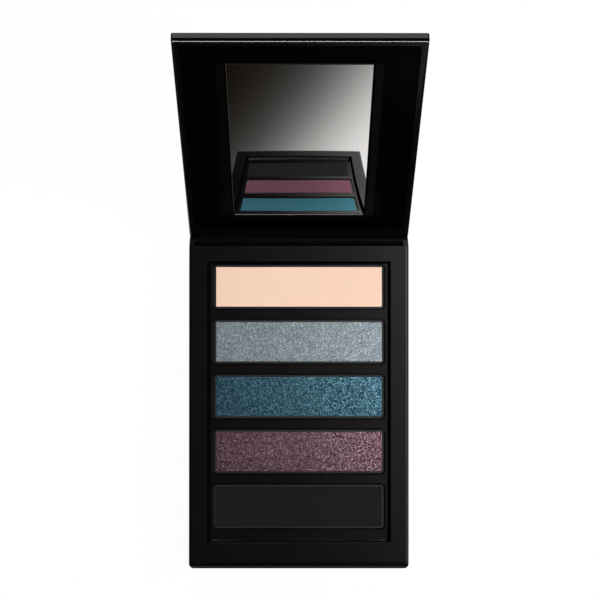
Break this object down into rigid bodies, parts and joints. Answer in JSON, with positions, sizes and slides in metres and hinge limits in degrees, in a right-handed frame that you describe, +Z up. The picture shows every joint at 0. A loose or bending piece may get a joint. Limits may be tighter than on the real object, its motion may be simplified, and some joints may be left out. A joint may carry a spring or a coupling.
{
  "type": "eyeshadow palette",
  "caption": "Slim black hinged eyeshadow palette: a framed tray of pressed-powder pans under a flip-up lid that carries a rectangular mirror.",
  "frame": {"origin": "centre of the base's underside, on the surface that the palette lies on", "axes": "+Z up, +Y from the front edge towards the hinge, +X to the right as seen from the front"},
  "size_m": [0.058, 0.13, 0.0826],
  "materials": {
    "case_black": "satin",
    "tray_black": "satin",
    "lid_black": "gloss",
    "pan_metal": "satin",
    "mirror_glass": "polished",
    "pin_steel": "satin",
    "magnet_plate": "satin",
    "adhesive": "matte",
    "powder_cream": "matte",
    "powder_slate": "matte",
    "powder_teal": "matte",
    "powder_plum": "matte",
    "powder_black": "matte"
  },
  "bodies": {
    "base": {"base_shell": "case_black", "base_frame": "case_black", "pan_tray": "tray_black", "pan_glue_dots": "adhesive", "base_magnets": "magnet_plate", "hinge_pins": "pin_steel", "pan_cream": "pan_metal", "pan_slate": "pan_metal", "pan_teal": "pan_metal", "pan_plum": "pan_metal", "pan_black": "pan_metal", "powder_cream": "powder_cream", "powder_slate": "powder_slate", "powder_teal": "powder_teal", "powder_plum": "powder_plum", "powder_black": "powder_black"},
    "lid": {"lid_shell": "lid_black", "lid_panel": "lid_black", "mirror": "mirror_glass", "mirror_tape": "adhesive", "lid_magnets": "magnet_plate"}
  },
  "joints": [
    {"name": "lid_hinge", "type": "hinge", "parent": "base", "child": "lid", "pos_m": [0, 0.0427, 0.00655], "axis": [1, 0, 0], "range_deg": [0, 117.4]}
  ]
}
